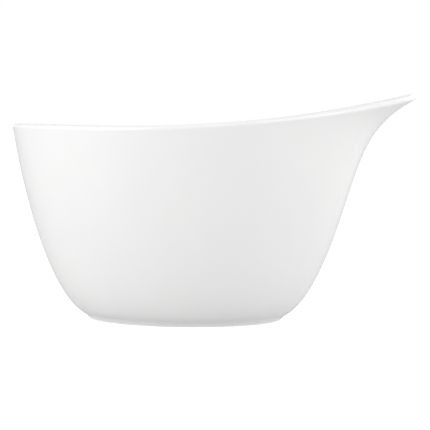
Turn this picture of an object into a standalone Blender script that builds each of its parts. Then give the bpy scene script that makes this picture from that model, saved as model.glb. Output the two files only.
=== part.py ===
"""Footed porcelain dish whose rim is drawn out and up into one pouring lip.

Metres, +Z up. The lip points along +X. The dish stands on z = 0, and the
middle of its overall length and width is at x = 0, y = 0.
"""
import math

import bmesh
import bpy
import numpy as np
from mathutils import Vector
from mathutils.geometry import interpolate_bezier

# ---- The clay body, before glazing ------------------------------------------
rim_radius = 0.0685        # outside of the wall at the low part of the rim
rim_height = 0.0757        # crown of the rim at its lowest point
foot_radius = 0.0380       # outside edge of the standing ring
foot_height = 0.0020       # how high the ring lifts the wall
foot_splay = 0.0008        # how far the ring's side leans out on the way up
foot_width = 0.0034        # width of the ring, seen from below
foot_edge = 0.0003         # softened edges of the standing face
well_depth = 0.0018        # recess under the floor, inside the ring
well_fillet = 0.0009       # round corner between recess and ring
floor_thickness = 0.0032   # clay between the recess and the inside floor
wall_thickness = 0.0030    # wall just above the floor
lip_thickness = 0.0019     # wall at the rim, whose edge is fully round
heel_height = 0.0120       # outside height where the inside turns to the floor
heel_pull = 0.6            # how far that turn is pulled towards a sharp corner

# ---- Turned outline of the wall, from the foot ring to the rim ---------------
heel_handle = 0.0155       # length of the curve's handle at the foot
heel_slope = 2.3           # outward run for each unit of rise, at the foot
rim_handle = 0.0276        # length of the curve's handle at the rim
rim_slope = 0.165          # outward run for each unit of rise, at the rim

# ---- The drawn lip ----------------------------------------------------------
lip_rise = 0.0150          # how far the rim climbs from its low point to the tip
lip_reach = 0.0242         # how far the tip is drawn out past the turned wall
lip_flare = 0.0110         # height in which the flare shrinks to about a third
lip_spread = math.radians(31.0)   # angle in which the flare fades to about a third
lip_nose = math.radians(5.0)      # rounding of the tip, seen from above
sheer_start = 0.0322       # the rim starts to climb this far behind the axis
sheer_power = 2.20         # how late the climb steepens
back_rise = 0.0005         # slight rise of the rim opposite the lip

# ---- Glaze ------------------------------------------------------------------
glaze_thickness = 0.0003   # fused glaze
glaze_gap = 0.0002         # clearance between the body and the glaze solid
bare_height = 0.0005       # unglazed band above the standing face

# ---- Facets -----------------------------------------------------------------
lip_stations = 12          # around the quarter nearest the lip, on each side
back_stations = 8          # around the quarter away from it, on each side
station_crowding = 1.5     # how closely the stations crowd towards the tip
wall_rings = 12
edge_rings = 6
inside_rings = 10
heel_rings = 5
well_rings = 3
outline_points = 300       # along the turned outline
settling_rounds = 40       # to find where the wall meets the edge of the rim

foot_top_radius = foot_radius + foot_splay
well_radius = foot_radius - foot_width
inside_floor = well_depth + floor_thickness


def handle(slope, length):
    """Arm of a curve handle that runs outward by slope for each unit of rise."""
    return Vector((slope, 1.0)).normalized() * length


def turned_outline():
    """Outside of the turned wall as radii and heights."""
    start = Vector((foot_top_radius, foot_height))
    end = Vector((rim_radius, rim_height))
    leave = start + handle(heel_slope, heel_handle)
    arrive = end - handle(rim_slope, rim_handle)
    points = interpolate_bezier(start, leave, arrive, end, outline_points)
    return [p.x for p in points], [p.y for p in points]


outline_radii, outline_heights = turned_outline()


def wall_radius(azimuth, height):
    """Outside radius of the body: the turned wall plus the flare of the lip."""
    above = max(height - rim_height, 0.0)
    turned = float(np.interp(height, outline_heights, outline_radii)) + above * rim_slope
    side = math.hypot(azimuth, lip_nose) - lip_nose
    flare = math.exp((height - rim_height - lip_rise) / lip_flare)
    return turned + lip_reach * flare * math.exp(-side / lip_spread)


def wall_point(azimuth, height):
    radius = wall_radius(azimuth, height)
    return Vector((radius * math.cos(azimuth), radius * math.sin(azimuth), height))


def wall_directions(azimuth, height):
    """Outward normal of the wall and its upward tangent."""
    turn = math.radians(0.1)
    climb = 0.0002
    around = wall_point(azimuth + turn, height) - wall_point(azimuth - turn, height)
    upward = wall_point(azimuth, height + climb) - wall_point(azimuth, height - climb)
    return around.cross(upward).normalized(), upward.normalized()


def crown_height(x):
    """Height of the crown of the rim above a place along the dish."""
    ahead = x + sheer_start
    if ahead < 0.0:
        return rim_height + back_rise * (ahead / (rim_radius - sheer_start)) ** 2
    share = ahead / (sheer_start + rim_radius + lip_reach)
    return rim_height + lip_rise * share ** sheer_power


def edge_height(azimuth):
    """Height where the outside of the wall meets the round edge of the rim."""
    height = rim_height
    for _ in range(settling_rounds):
        normal = wall_directions(azimuth, height)[0]
        middle = wall_point(azimuth, height) - normal * lip_thickness / 2
        wanted = crown_height(middle.x) - lip_thickness / 2 * (1 + abs(normal.z))
        height = (height + wanted) / 2
    return height


def ring_place(azimuth, radius, height, out, up):
    """Place and outward normal of a turned detail, given in its upright plane."""
    across = Vector((math.cos(azimuth), math.sin(azimuth), 0.0))
    normal = (across * out + Vector((0.0, 0.0, up))).normalized()
    return across * radius + Vector((0.0, 0.0, height)), normal


def outside_wall(azimuth, top):
    """From just above the foot ring to the rim, closer where the wall curves."""
    places = []
    for step in range(1, wall_rings + 1):
        share = 0.5 - 0.5 * math.cos(math.pi * step / wall_rings)
        height = foot_height + share * (top - foot_height)
        normal = wall_directions(azimuth, height)[0]
        places.append((wall_point(azimuth, height), normal))
    return places


def rounded_edge(azimuth, top):
    """The full round of the rim, from outside to inside."""
    normal, upward = wall_directions(azimuth, top)
    middle = wall_point(azimuth, top) - normal * lip_thickness / 2
    places = []
    for step in range(1, edge_rings):
        angle = math.pi * step / edge_rings
        facing = normal * math.cos(angle) + upward * math.sin(angle)
        places.append((middle + facing * lip_thickness / 2, facing))
    return places


def inside_wall(azimuth, top):
    """From the rim down to the heel, thickening on the way."""
    places = []
    for step in range(inside_rings):
        share = 0.5 + 0.5 * math.cos(math.pi * step / (inside_rings - 1))
        height = heel_height + share * (top - heel_height)
        normal = wall_directions(azimuth, height)[0]
        thickness = wall_thickness + share * (lip_thickness - wall_thickness)
        places.append((wall_point(azimuth, height) - normal * thickness, -normal))
    return places


def inside_heel(azimuth, start, facing):
    """Curve from the foot of the inside wall into the flat floor."""
    begin = Vector((math.hypot(start.x, start.y), start.z))
    across = facing.x * math.cos(azimuth) + facing.y * math.sin(azimuth)
    down = Vector((-facing.z, across)).normalized()
    corner = begin + down * (inside_floor - begin.y) / down.y
    arm = (begin - corner).length
    end = corner - Vector((arm, 0.0))
    bend = (begin, begin.lerp(corner, heel_pull), end.lerp(corner, heel_pull), end)
    curve = interpolate_bezier(*bend, heel_rings + 1)
    places = []
    for step in range(1, heel_rings + 1):
        after = curve[min(step + 1, heel_rings)]
        run = (after - curve[step - 1]).normalized()
        if step == heel_rings:
            run = Vector((-1.0, 0.0))
        places.append(ring_place(azimuth, curve[step].x, curve[step].y, run.y, -run.x))
    return places


def glazed_section(azimuth):
    """Everything under the main glaze: foot side, wall, rim, inside and floor."""
    side = Vector((foot_top_radius - foot_radius, foot_height - foot_edge))
    bare_share = (bare_height - foot_edge) / side.y
    bare_radius = foot_radius + side.x * bare_share
    top = edge_height(azimuth)
    crease = Vector((side.y, -side.x)).normalized() + Vector((1.0, -heel_slope)).normalized()
    places = [ring_place(azimuth, bare_radius, bare_height, side.y, -side.x)]
    places.append(ring_place(azimuth, foot_top_radius, foot_height, crease.x, crease.y))
    places += outside_wall(azimuth, top)
    places += rounded_edge(azimuth, top)
    places += inside_wall(azimuth, top)
    places += inside_heel(azimuth, *places[-1])
    return places


def well_section(azimuth):
    """The glazed recess under the floor, from its flat to the bare band."""
    places = []
    for step in range(well_rings + 1):
        angle = math.pi / 2 * (1 - step / well_rings)
        out, up = math.cos(angle), math.sin(angle)
        radius = well_radius - well_fillet * (1 - out)
        height = well_depth - well_fillet * (1 - up)
        places.append(ring_place(azimuth, radius, height, -out, -up))
    places.append(ring_place(azimuth, well_radius, bare_height, -1.0, 0.0))
    return places


def standing_section(azimuth):
    """The bare face the dish stands on, with its softened edges."""
    places = [ring_place(azimuth, well_radius, foot_edge, -1.0, 0.0)]
    places.append(ring_place(azimuth, well_radius + foot_edge, 0.0, 0.0, -1.0))
    places.append(ring_place(azimuth, foot_radius - foot_edge, 0.0, 0.0, -1.0))
    places.append(ring_place(azimuth, foot_radius, foot_edge, 1.0, 0.0))
    return places


def azimuths():
    """Stations around the dish from the lip, closest together at the tip."""
    quarter = math.pi / 2
    half = [quarter * (i / lip_stations) ** station_crowding for i in range(lip_stations)]
    half += [quarter * (1 + i / back_stations) for i in range(back_stations + 1)]
    return half + [-a for a in reversed(half[1:-1])]


def rings_of(section, lift):
    """Rings around the dish, each raised off the clay by lift."""
    sections = [[p + n * lift for p, n in section(a)] for a in azimuths()]
    return [list(ring) for ring in zip(*sections)]


def body_section(azimuth):
    return well_section(azimuth) + standing_section(azimuth) + glazed_section(azimuth)


def skin_rings(section):
    """Both faces of a glaze skin, joined at its edge by the bare band."""
    under = rings_of(section, glaze_gap)
    over = rings_of(section, glaze_gap + glaze_thickness)
    return under, over


def ceramic_material(name, colour, roughness):
    material = bpy.data.materials.new(name)
    material.use_nodes = True
    shader = material.node_tree.nodes["Principled BSDF"]
    shader.inputs["Base Color"].default_value = (*colour, 1.0)
    shader.inputs["Roughness"].default_value = roughness
    shader.inputs["Metallic"].default_value = 0.0
    return material


def loft(name, rings, material, parent):
    """Extrudes a loop of vertices from ring to ring and closes both ends."""
    mesh = bmesh.new()
    bmesh.ops.create_circle(mesh, segments=len(rings[0]), radius=1.0)
    loop = mesh.verts[:]
    edges = mesh.edges[:]
    for number, ring in enumerate(rings):
        if number > 0:
            made = bmesh.ops.extrude_edge_only(mesh, edges=edges)["geom"]
            loop = [g for g in made if isinstance(g, bmesh.types.BMVert)]
            edges = [g for g in made if isinstance(g, bmesh.types.BMEdge)]
        for vert, place in zip(loop, ring):
            vert.co = place
    ends = [e for e in mesh.edges if e.is_boundary]
    bmesh.ops.holes_fill(mesh, edges=ends)
    bmesh.ops.recalc_face_normals(mesh, faces=mesh.faces)
    data = bpy.data.meshes.new(name)
    mesh.to_mesh(data)
    mesh.free()
    data.shade_smooth()
    data.set_sharp_from_angle(angle=math.radians(30.0))
    data.materials.append(material)
    piece = bpy.data.objects.new(name, data)
    piece.parent = parent
    bpy.context.scene.collection.objects.link(piece)
    return piece


def main():
    for old in list(bpy.data.objects):
        bpy.data.objects.remove(old)
    under, over = skin_rings(glazed_section)
    reach = [p.x for ring in over for p in ring]
    axis = bpy.data.objects.new("turning_axis", None)
    axis.location.x = -(max(reach) + min(reach)) / 2
    bpy.context.scene.collection.objects.link(axis)
    clay = ceramic_material("fired_clay", (0.80, 0.79, 0.76), 0.70)
    glaze = ceramic_material("white_glaze", (0.90, 0.90, 0.89), 0.08)
    well_glaze = ceramic_material("white_well_glaze", (0.88, 0.88, 0.87), 0.12)
    loft("porcelain_body", rings_of(body_section, 0.0), clay, axis)
    loft("glaze_coat", over[::-1] + under, glaze, axis)
    under, over = skin_rings(well_section)
    loft("foot_well_glaze", over + under[::-1], well_glaze, axis)


main()
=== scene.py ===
import math

import bmesh
import bpy
import numpy as np
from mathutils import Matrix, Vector
from mathutils.geometry import interpolate_bezier


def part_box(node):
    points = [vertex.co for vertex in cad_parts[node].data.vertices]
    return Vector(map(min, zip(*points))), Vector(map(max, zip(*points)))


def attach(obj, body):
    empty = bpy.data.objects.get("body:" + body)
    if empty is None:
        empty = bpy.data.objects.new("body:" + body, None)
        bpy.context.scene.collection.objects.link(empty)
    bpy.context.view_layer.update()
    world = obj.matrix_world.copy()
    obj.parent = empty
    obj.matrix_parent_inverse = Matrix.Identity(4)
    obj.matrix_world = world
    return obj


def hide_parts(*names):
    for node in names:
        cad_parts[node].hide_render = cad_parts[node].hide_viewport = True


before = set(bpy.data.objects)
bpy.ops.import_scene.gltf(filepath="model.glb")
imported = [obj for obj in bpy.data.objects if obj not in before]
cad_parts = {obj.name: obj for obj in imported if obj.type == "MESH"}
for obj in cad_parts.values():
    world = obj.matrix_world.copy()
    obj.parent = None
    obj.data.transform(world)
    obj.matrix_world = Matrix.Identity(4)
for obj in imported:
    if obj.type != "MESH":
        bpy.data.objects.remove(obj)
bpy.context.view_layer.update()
wellLow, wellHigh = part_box("foot_well_glaze")
axisX = (wellLow[0] + wellHigh[0]) / 2      # turning axis of the bowl and its foot ring
mm = 0.001
print("frame loaded with", len(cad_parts), "nodes, axis at", round(axisX / mm, 2), "mm")

# The shape of the clay: sizes in millimetres, heights from the table, slopes and pulls as shares.
clay = {
    "rimRadius": 68.5, "rimHeight": 75.7, "rimSlope": 0.165, "rimHandle": 27.6,
    "heelSlope": 2.3, "heelHandle": 15.5, "heelHeight": 12.0, "heelPull": 0.6,
    "footRadius": 38.0, "footSplay": 0.8, "footHeight": 2.0, "footWidth": 3.4,
    "footEdge": 0.3, "wellDepth": 1.8, "wellFillet": 0.9, "creaseRound": 0.9,
    "floorThickness": 3.2, "wallThickness": 3.0, "lipThickness": 1.9,
    "creasePull": 2 / 3, "closingRadius": 0.6,
}
clay["footTop"] = clay["footRadius"] + clay["footSplay"]
clay["wellRadius"] = clay["footRadius"] - clay["footWidth"]
clay["insideFloor"] = clay["wellDepth"] + clay["floorThickness"]

# The lip, drawn out of the turned wall and swept up: millimetres, and angles in radians.
lip = {
    "rise": 15.0, "reach": 24.2, "flare": 11.0, "spread": math.radians(31.0),
    "nose": math.radians(5.0), "sheerStart": 32.2, "sheerPower": 2.2, "backRise": 0.5,
}

# How finely each stretch is drawn.
loops = {
    "nearLip": 64, "farSide": 36, "crowding": 1.5, "outline": 600, "settling": 40,
    "footSide": 8, "crease": 6, "wall": 64, "edge": 18, "inside": 52, "heel": 26,
    "floor": 8, "well": 10, "hidden": 5,
}


def curveArm(slope, length):
    return Vector((slope, 1.0)).normalized() * length


def turnedOutline():
    start = Vector((clay["footTop"], clay["footHeight"]))
    end = Vector((clay["rimRadius"], clay["rimHeight"]))
    leave = start + curveArm(clay["heelSlope"], clay["heelHandle"])
    arrive = end - curveArm(clay["rimSlope"], clay["rimHandle"])
    curve = interpolate_bezier(start, leave, arrive, end, loops["outline"])
    return np.array([p.x for p in curve]), np.array([p.y for p in curve])


outlineRadii, outlineHeights = turnedOutline()


def wallRadius(azimuth, height):
    over = max(height - clay["rimHeight"], 0.0)
    turned = float(np.interp(height, outlineHeights, outlineRadii)) + over * clay["rimSlope"]
    side = math.hypot(azimuth, lip["nose"]) - lip["nose"]
    flare = math.exp((height - clay["rimHeight"] - lip["rise"]) / lip["flare"])
    return turned + lip["reach"] * flare * math.exp(-side / lip["spread"])


def wallPoint(azimuth, height):
    radius = wallRadius(azimuth, height)
    return Vector((radius * math.cos(azimuth), radius * math.sin(azimuth), height))


def wallDirections(azimuth, height):         # outward normal and upward tangent
    turn = math.radians(0.1)
    climb = 0.2
    around = wallPoint(azimuth + turn, height) - wallPoint(azimuth - turn, height)
    upward = wallPoint(azimuth, height + climb) - wallPoint(azimuth, height - climb)
    return around.cross(upward).normalized(), upward.normalized()


def crownHeight(x):                          # the sweep of the rim, seen from the side
    ahead = x + lip["sheerStart"]
    if ahead < 0.0:
        share = ahead / (clay["rimRadius"] - lip["sheerStart"])
        return clay["rimHeight"] + lip["backRise"] * share ** 2
    share = ahead / (lip["sheerStart"] + clay["rimRadius"] + lip["reach"])
    return clay["rimHeight"] + lip["rise"] * share ** lip["sheerPower"]


def edgeHeight(azimuth):                     # where the outside meets the round of the rim
    height = clay["rimHeight"]
    half = clay["lipThickness"] / 2
    for _ in range(loops["settling"]):
        normal = wallDirections(azimuth, height)[0]
        middle = wallPoint(azimuth, height) - normal * half
        wanted = crownHeight(middle.x) - half * (1 + abs(normal.z))
        height = (height + wanted) / 2
    return height


def turnedPlace(azimuth, radius, height, out, up):
    across = Vector((math.cos(azimuth), math.sin(azimuth), 0.0))
    normal = (across * out + Vector((0.0, 0.0, up))).normalized()
    return across * radius + Vector((0.0, 0.0, height)), normal


def turnedCurve(azimuth, points, facing):    # a run of turned places, facing left or right of its path
    places = []
    for i in range(len(points)):
        run = (points[min(i + 1, len(points) - 1)] - points[max(i - 1, 0)]).normalized()
        places.append(turnedPlace(azimuth, points[i].x, points[i].y, run.y * facing, -run.x * facing))
    return places


def footSide(azimuth, low):                  # side of the ring and the soft crease above it
    bottom = Vector((clay["footRadius"], clay["footEdge"]))
    crease = Vector((clay["footTop"], clay["footHeight"]))
    lean = (crease - bottom).normalized()
    start = bottom.lerp(crease, (low - bottom.y) / (crease.y - bottom.y))
    turnIn = crease - lean * clay["creaseRound"]
    turnOut = crease + curveArm(clay["heelSlope"], clay["creaseRound"])
    turnOut.x = float(np.interp(turnOut.y, outlineHeights, outlineRadii))
    points = [start.lerp(turnIn, i / loops["footSide"]) for i in range(loops["footSide"])]
    leave = turnIn.lerp(crease, clay["creasePull"])
    arrive = turnOut.lerp(crease, clay["creasePull"])
    points += interpolate_bezier(turnIn, leave, arrive, turnOut, loops["crease"])
    return turnedCurve(azimuth, points, 1.0), turnOut.y


def outsideWall(azimuth, low, top):
    places = []
    for i in range(1, loops["wall"] + 1):
        share = 0.5 - 0.5 * math.cos(math.pi * i / loops["wall"])
        height = low + share * (top - low)
        places.append((wallPoint(azimuth, height), wallDirections(azimuth, height)[0]))
    return places


def roundedEdge(azimuth, top):
    normal, upward = wallDirections(azimuth, top)
    half = clay["lipThickness"] / 2
    middle = wallPoint(azimuth, top) - normal * half
    places = []
    for i in range(1, loops["edge"]):
        angle = math.pi * i / loops["edge"]
        facing = normal * math.cos(angle) + upward * math.sin(angle)
        places.append((middle + facing * half, facing))
    return places


def insideWall(azimuth, top):
    places = []
    for i in range(loops["inside"]):
        share = 0.5 + 0.5 * math.cos(math.pi * i / (loops["inside"] - 1))
        height = clay["heelHeight"] + share * (top - clay["heelHeight"])
        normal = wallDirections(azimuth, height)[0]
        thickness = clay["wallThickness"] + share * (clay["lipThickness"] - clay["wallThickness"])
        places.append((wallPoint(azimuth, height) - normal * thickness, -normal))
    return places


def insideHeel(azimuth, start, facing):      # the sweep from the wall into the floor
    begin = Vector((math.hypot(start.x, start.y), start.z))
    across = facing.x * math.cos(azimuth) + facing.y * math.sin(azimuth)
    down = Vector((-facing.z, across)).normalized()
    corner = begin + down * (clay["insideFloor"] - begin.y) / down.y
    end = corner - Vector(((begin - corner).length, 0.0))
    leave = begin.lerp(corner, clay["heelPull"])
    arrive = end.lerp(corner, clay["heelPull"])
    points = interpolate_bezier(begin, leave, arrive, end, loops["heel"])
    middle = Vector((clay["closingRadius"], end.y))
    points += [end.lerp(middle, i / loops["floor"]) for i in range(1, loops["floor"] + 1)]
    return turnedCurve(azimuth, points, 1.0)[1:]


def glazedSection(azimuth, low):             # foot side, wall, rim, inside and floor
    top = edgeHeight(azimuth)
    places, wallStart = footSide(azimuth, low)
    places += outsideWall(azimuth, wallStart, top)
    places += roundedEdge(azimuth, top)
    places += insideWall(azimuth, top)
    places += insideHeel(azimuth, *places[-1])
    return places


def wellSection(azimuth, low):               # the recess inside the ring, from its middle out
    radius = clay["wellRadius"]
    fillet = clay["wellFillet"]
    flat = Vector((radius - fillet, clay["wellDepth"]))
    middle = Vector((clay["closingRadius"], clay["wellDepth"]))
    points = [middle.lerp(flat, i / loops["floor"]) for i in range(loops["floor"])]
    for i in range(loops["well"] + 1):
        angle = math.pi / 2 * (1 - i / loops["well"])
        points.append(flat + Vector((math.cos(angle), math.sin(angle) - 1.0)) * fillet)
    points.append(Vector((radius, low)))
    return turnedCurve(azimuth, points, 1.0)


def standingSection(azimuth):                # the bare flat of the ring, its edges just softened
    edge = clay["footEdge"]
    inner = Vector((clay["wellRadius"], edge))
    outer = Vector((clay["footRadius"], edge))
    points = []
    for i in range(loops["hidden"]):
        angle = math.pi / 2 * i / (loops["hidden"] - 1)
        points.append(inner + Vector((1.0 - math.cos(angle), -math.sin(angle))) * edge)
    for i in range(loops["hidden"]):
        angle = math.pi / 2 * i / (loops["hidden"] - 1)
        points.append(outer + Vector((math.sin(angle) - 1.0, -math.cos(angle))) * edge)
    return turnedCurve(azimuth, points, 1.0)


def stationAngles():                         # closest together at the tip of the lip
    quarter = math.pi / 2
    half = [quarter * (i / loops["nearLip"]) ** loops["crowding"] for i in range(loops["nearLip"])]
    half += [quarter * (1 + i / loops["farSide"]) for i in range(loops["farSide"] + 1)]
    return half + [-a for a in reversed(half[1:-1])]


stations = stationAngles()


def growShell(name, rings):
    # a ring of vertices is extruded from place to place, then both ends are filled
    shell = bmesh.new()
    bmesh.ops.create_circle(shell, segments=len(stations), radius=1.0)
    loop = shell.verts[:]
    edges = shell.edges[:]
    for i in range(len(rings)):
        if i > 0:
            made = bmesh.ops.extrude_edge_only(shell, edges=edges)["geom"]
            loop = [g for g in made if isinstance(g, bmesh.types.BMVert)]
            edges = [g for g in made if isinstance(g, bmesh.types.BMEdge)]
        for vert, place in zip(loop, rings[i]):
            vert.co = place * mm
            vert.co.x += axisX
    bmesh.ops.holes_fill(shell, edges=[e for e in shell.edges if e.is_boundary])
    bmesh.ops.recalc_face_normals(shell, faces=shell.faces)
    mesh = bpy.data.meshes.new(name)
    shell.to_mesh(mesh)
    shell.free()
    mesh.shade_smooth()
    piece = bpy.data.objects.new(name, mesh)
    bpy.context.scene.collection.objects.link(piece)
    print(name, "grown with", len(mesh.polygons), "faces")
    return piece


def liftedRings(sections, lift):             # lift(place) gives the height of a layer above the clay
    lifted = [[p + n * lift(p) for p, n in section] for section in sections]
    return list(zip(*lifted))


# The glaze, in millimetres: a skin that thins out where it was wiped off the standing ring.
glazeSkin = {
    "fullLift": 0.5, "seat": 0.02, "wipedLift": 0.2, "wipedAt": 0.5, "fullAt": 1.5,
}


def glazeTop(place):                         # outer face of the skin
    share = (place.z - glazeSkin["wipedAt"]) / (glazeSkin["fullAt"] - glazeSkin["wipedAt"])
    share = min(max(share, 0.0), 1.0)
    share = share * share * (3 - 2 * share)
    return glazeSkin["wipedLift"] + share * (glazeSkin["fullLift"] - glazeSkin["wipedLift"])


def glazeSeat(place):                        # inner face, just clear of the clay
    return glazeSkin["seat"]


def makeGlazeCoat():
    sections = [glazedSection(a, glazeSkin["wipedAt"]) for a in stations]
    over = liftedRings(sections, glazeTop)
    under = liftedRings(sections, glazeSeat)
    coat = growShell("glazeCoat", over[::-1] + under)
    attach(coat, "root")
    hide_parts("glaze_coat")
    return coat


def makeWellGlaze():
    sections = [wellSection(a, glazeSkin["wipedAt"]) for a in stations]
    over = liftedRings(sections, glazeTop)
    under = liftedRings(sections, glazeSeat)
    skin = growShell("footWellGlaze", over + under[::-1])
    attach(skin, "root")
    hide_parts("foot_well_glaze")
    return skin


def makeFiredBody():
    sections = []
    for a in stations:
        low = glazeSkin["wipedAt"]
        sections.append(wellSection(a, low) + standingSection(a) + glazedSection(a, low))
    body = growShell("firedBody", liftedRings(sections, lambda place: 0.0))
    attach(body, "root")
    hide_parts("porcelain_body")
    return body


class NodeBench:                             # short ways to lay down shader nodes
    def __init__(self, name):
        self.material = bpy.data.materials.new(name)
        self.material.use_nodes = True
        self.tree = self.material.node_tree
        self.shader = self.tree.nodes["Principled BSDF"]
        self.place = self.add("ShaderNodeTexCoord").outputs["Object"]

    def add(self, kind, **settings):
        node = self.tree.nodes.new(kind)
        for key, value in settings.items():
            setattr(node, key, value)
        return node

    def link(self, source, target):
        self.tree.links.new(source, target)

    def noise(self, scale, detail, roughness=0.5):
        node = self.add("ShaderNodeTexNoise")
        node.inputs["Scale"].default_value = scale
        node.inputs["Detail"].default_value = detail
        node.inputs["Roughness"].default_value = roughness
        self.link(self.place, node.inputs["Vector"])
        return node.outputs["Fac"]

    def span(self, source, low, high, toLow=0.0, toHigh=1.0):
        node = self.add("ShaderNodeMapRange", interpolation_type="SMOOTHSTEP")
        limits = {"From Min": low, "From Max": high, "To Min": toLow, "To Max": toHigh}
        for socket, value in limits.items():
            node.inputs[socket].default_value = value
        self.link(source, node.inputs["Value"])
        return node.outputs["Result"]

    def blend(self, share, first, second):
        node = self.add("ShaderNodeMix", data_type="RGBA")
        self.link(share, node.inputs["Factor"])
        for socket, value in (("A", first), ("B", second)):
            target = [s for s in node.inputs if s.name == socket and s.type == "RGBA"][0]
            if isinstance(value, tuple):
                target.default_value = (*value, 1.0)
            else:
                self.link(value, target)
        return [s for s in node.outputs if s.type == "RGBA"][0]

    def bump(self, height, distance, under=None):
        node = self.add("ShaderNodeBump")
        node.inputs["Strength"].default_value = 1.0
        node.inputs["Distance"].default_value = distance
        self.link(height, node.inputs["Height"])
        if under:
            self.link(under, node.inputs["Normal"])
        return node.outputs["Normal"]


# White glaze: noises are scale and detail, heights and bumps in metres. Low down the colour turns
# darker and bluer: partly thicker glaze at the foot, partly painted shade at the foot, crease and
# well.
whiteGlaze = {
    "colour": (0.885, 0.885, 0.880), "cloud": (0.870, 0.871, 0.869), "poolAndShadeColour": (0.835, 0.842, 0.846),
    "cloudNoise": (22.0, 3.0), "cloudSpan": (0.35, 0.65), "poolAndShadeSpan": (0.0045, 0.0010),
    "roughNoise": (55.0, 4.0), "roughSpan": (0.3, 0.7), "rough": (0.05, 0.11), "ior": 1.5,
    "rippleNoise": (95.0, 1.0), "ripple": 0.00003, "peelNoise": (900.0, 2.0), "peel": 0.000004,
}


def glazeMaterial(name, values):
    bench = NodeBench(name)
    clouds = bench.span(bench.noise(*values["cloudNoise"]), *values["cloudSpan"])
    colour = bench.blend(clouds, values["colour"], values["cloud"])
    # painted shade: below 4.5 mm height the glaze blends to a darker, bluer colour, partly thicker
    # glaze pooled at the foot, partly shade at the foot, crease and well
    height = bench.add("ShaderNodeSeparateXYZ")
    bench.link(bench.place, height.inputs["Vector"])
    poolAndShadeShare = bench.span(height.outputs["Z"], *values["poolAndShadeSpan"])
    colour = bench.blend(poolAndShadeShare, colour, values["poolAndShadeColour"])
    bench.link(colour, bench.shader.inputs["Base Color"])
    rough = bench.span(bench.noise(*values["roughNoise"]), *values["roughSpan"], *values["rough"])
    bench.link(rough, bench.shader.inputs["Roughness"])
    ripple = bench.bump(bench.noise(*values["rippleNoise"]), values["ripple"])
    peel = bench.bump(bench.noise(*values["peelNoise"]), values["peel"], ripple)
    bench.link(peel, bench.shader.inputs["Normal"])
    bench.shader.inputs["IOR"].default_value = values["ior"]
    return bench.material


# Bare clay: noises are scale, detail and roughness.
bareClay = {
    "colour": (0.87, 0.86, 0.835), "worn": (0.78, 0.765, 0.735),
    "stainNoise": (120.0, 5.0, 0.65), "stainSpan": (0.45, 0.75),
    "grainNoise": (1800.0, 6.0, 0.7), "roughSpan": (0.3, 0.7), "rough": (0.62, 0.85), "grain": 0.00004,
}


def clayMaterial(name, values):
    bench = NodeBench(name)
    grain = bench.noise(*values["grainNoise"])
    stain = bench.span(bench.noise(*values["stainNoise"]), *values["stainSpan"])
    colour = bench.blend(stain, values["colour"], values["worn"])
    bench.link(colour, bench.shader.inputs["Base Color"])
    rough = bench.span(grain, *values["roughSpan"], *values["rough"])
    bench.link(rough, bench.shader.inputs["Roughness"])
    bench.link(bench.bump(grain, values["grain"]), bench.shader.inputs["Normal"])
    return bench.material


print("growing the dish")
glazeCoat = makeGlazeCoat()
wellGlaze = makeWellGlaze()
firedBody = makeFiredBody()
glazeCoat.data.materials.append(glazeMaterial("whiteGlaze", whiteGlaze))
wellGlaze.data.materials.append(glazeMaterial("whiteWellGlaze", whiteGlaze))
firedBody.data.materials.append(clayMaterial("bareClay", bareClay))

# The camera: a long lens at rim height, places in millimetres, roll in radians.
view = {
    "side": 10.93, "away": 791.6, "height": 77.0, "aimDrop": 35.83, "roll": -0.0116,
    "lens": 166.95, "sensor": 36.0, "clipStart": 10.0,
}

# The studio: the floor is what the camera sees, the table under it is what lights the dish.
# Sheets are tone, glow and roughness; the sheet size is in metres, the drops in millimetres.
studio = {
    "sheetSize": 60.0, "floor": (0.4, 0.9, 1.0), "table": (0.45, 0.225, 0.5), "tableDrop": 0.1,
    "backdrop": 1.0, "wallLight": 0.91, "ceilingLight": 0.6,
    "wellLight": 0.0053, "wellLightSize": 77.3, "wellLightDrop": 0.05,
}

softboxes = {                                # bearing in degrees, distance and side in metres, watts
    "keyLeft": (220.0, 0.6, 0.5, 1.3),
    "wideLeft": (190.0, 1.4, 1.3, 2.3),
    "wideRight": (336.0, 1.4, 1.3, 6.0),
    "nearRight": (355.0, 0.6, 0.4, 0.36),
    "nearBack": (42.0, 0.6, 0.4, 0.45),
}


def makeCamera():
    data = bpy.data.cameras.new("camera")
    data.lens = view["lens"]
    data.sensor_width = view["sensor"]
    data.clip_start = view["clipStart"] * mm
    camera = bpy.data.objects.new("camera", data)
    camera.location = (axisX + view["side"] * mm, -view["away"] * mm, view["height"] * mm)
    pitch = math.atan(view["aimDrop"] / view["away"])
    camera.rotation_euler = (math.pi / 2 - pitch, view["roll"], 0.0)
    bpy.context.scene.collection.objects.link(camera)
    bpy.context.scene.camera = camera


def makeSoftbox(name, bearing, away, side, power):
    data = bpy.data.lights.new(name, "AREA")
    data.size = side
    data.energy = power
    light = bpy.data.objects.new(name, data)
    turn = math.radians(bearing)
    light.location = (away * math.cos(turn), away * math.sin(turn), side / 2)
    light.rotation_euler = (-light.location).to_track_quat("-Z", "Y").to_euler()
    light.visible_camera = False
    bpy.context.scene.collection.objects.link(light)


def makeWellLight():                         # a faint glow under the foot, shining up
    data = bpy.data.lights.new("wellLight", "AREA")
    data.shape = "DISK"
    data.size = studio["wellLightSize"] * mm
    data.energy = studio["wellLight"]
    light = bpy.data.objects.new("wellLight", data)
    light.location = (axisX, 0.0, -studio["wellLightDrop"] * mm)
    light.rotation_euler = (math.pi, 0.0, 0.0)
    light.visible_camera = False
    bpy.context.scene.collection.objects.link(light)


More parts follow.
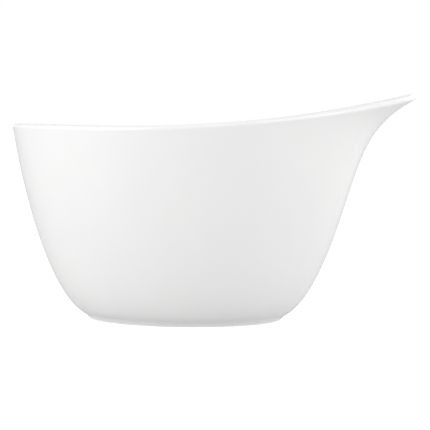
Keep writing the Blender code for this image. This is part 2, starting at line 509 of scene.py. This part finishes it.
def makeWorld():                             # the camera sees plain white, the dish a softer room
    world = bpy.data.worlds.new("studio")
    world.use_nodes = True
    nodes = world.node_tree.nodes
    link = world.node_tree.links.new
    seen = nodes["Background"]
    seen.inputs["Color"].default_value = (1.0, 1.0, 1.0, 1.0)
    seen.inputs["Strength"].default_value = studio["backdrop"]
    room = nodes.new("ShaderNodeBackground")
    room.inputs["Color"].default_value = (1.0, 1.0, 1.0, 1.0)
    where = nodes.new("ShaderNodeTexCoord")
    split = nodes.new("ShaderNodeSeparateXYZ")
    fade = nodes.new("ShaderNodeMapRange")
    fade.inputs["To Min"].default_value = studio["wallLight"]
    fade.inputs["To Max"].default_value = studio["ceilingLight"]
    link(where.outputs["Generated"], split.inputs["Vector"])
    link(split.outputs["Z"], fade.inputs["Value"])
    link(fade.outputs["Result"], room.inputs["Strength"])
    ray = nodes.new("ShaderNodeLightPath")
    choose = nodes.new("ShaderNodeMixShader")
    link(ray.outputs["Is Camera Ray"], choose.inputs["Fac"])
    link(room.outputs["Background"], choose.inputs[1])
    link(seen.outputs["Background"], choose.inputs[2])
    link(choose.outputs["Shader"], nodes["World Output"].inputs["Surface"])
    bpy.context.scene.world = world


def laidSheet(name, paint, tone, glow, rough):
    patch = bmesh.new()
    bmesh.ops.create_grid(patch, x_segments=1, y_segments=1, size=studio["sheetSize"] / 2)
    mesh = bpy.data.meshes.new(name)
    patch.to_mesh(mesh)
    patch.free()
    material = bpy.data.materials.new(paint)
    material.use_nodes = True
    shader = material.node_tree.nodes["Principled BSDF"]
    shader.inputs["Base Color"].default_value = (tone, tone, tone, 1.0)
    shader.inputs["Roughness"].default_value = rough
    shader.inputs["Emission Color"].default_value = (1.0, 1.0, 1.0, 1.0)
    shader.inputs["Emission Strength"].default_value = glow
    mesh.materials.append(material)
    sheet = bpy.data.objects.new(name, mesh)
    bpy.context.scene.collection.objects.link(sheet)
    return sheet


def makeFloor():                             # clear from below, so the foot can be looked at
    floor = laidSheet("floor", "paleFloor", *studio["floor"])
    tree = floor.data.materials[0].node_tree
    side = tree.nodes.new("ShaderNodeNewGeometry")
    clear = tree.nodes.new("ShaderNodeBsdfTransparent")
    choose = tree.nodes.new("ShaderNodeMixShader")
    tree.links.new(side.outputs["Backfacing"], choose.inputs["Fac"])
    tree.links.new(tree.nodes["Principled BSDF"].outputs["BSDF"], choose.inputs[1])
    tree.links.new(clear.outputs["BSDF"], choose.inputs[2])
    tree.links.new(choose.outputs["Shader"], tree.nodes["Material Output"].inputs["Surface"])
    floor.visible_diffuse = False
    floor.visible_glossy = False
    floor.visible_shadow = False


def makeTable():                             # throws soft light back up at the dish
    table = laidSheet("table", "tablePaint", *studio["table"])
    table.location.z = -studio["tableDrop"] * mm
    table.visible_camera = False


makeCamera()
makeWorld()
makeFloor()
makeTable()
for name, values in softboxes.items():
    makeSoftbox(name, *values)
makeWellLight()
bpy.context.scene.view_settings.view_transform = "Standard"
print("studio ready")
